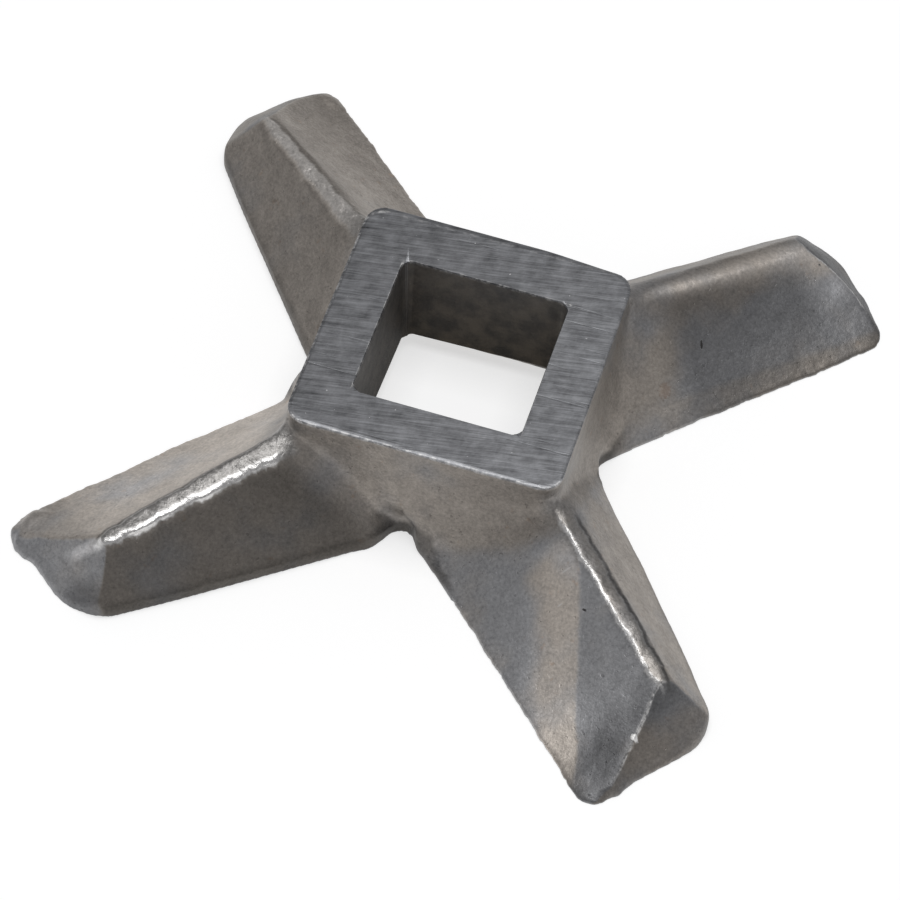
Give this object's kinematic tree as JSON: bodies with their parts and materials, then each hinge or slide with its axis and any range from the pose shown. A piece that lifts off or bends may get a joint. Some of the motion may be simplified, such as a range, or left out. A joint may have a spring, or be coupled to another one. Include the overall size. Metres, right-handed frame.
{
  "type": "meat grinder blade",
  "caption": "Cast cross-shaped grinder knife: square hub with a square drive hole and sloped arms that come down to cutting edges on a flat underside.",
  "frame": {"origin": "on the axis of the square drive hole, in the flat cutting plane of the underside", "axes": "+Z along the drive hole's axis, away from the hole plate; +X and +Y across the hub's sides, so the arms lie on the diagonals"},
  "size_m": [0.0642, 0.0642, 0.0112],
  "materials": {
    "cast_steel": "satin as-cast grey steel, ground on the hub's face and on the underside"
  },
  "bodies": {
    "root": {"cross_blade": "cast_steel"}
  },
  "joints": []
}
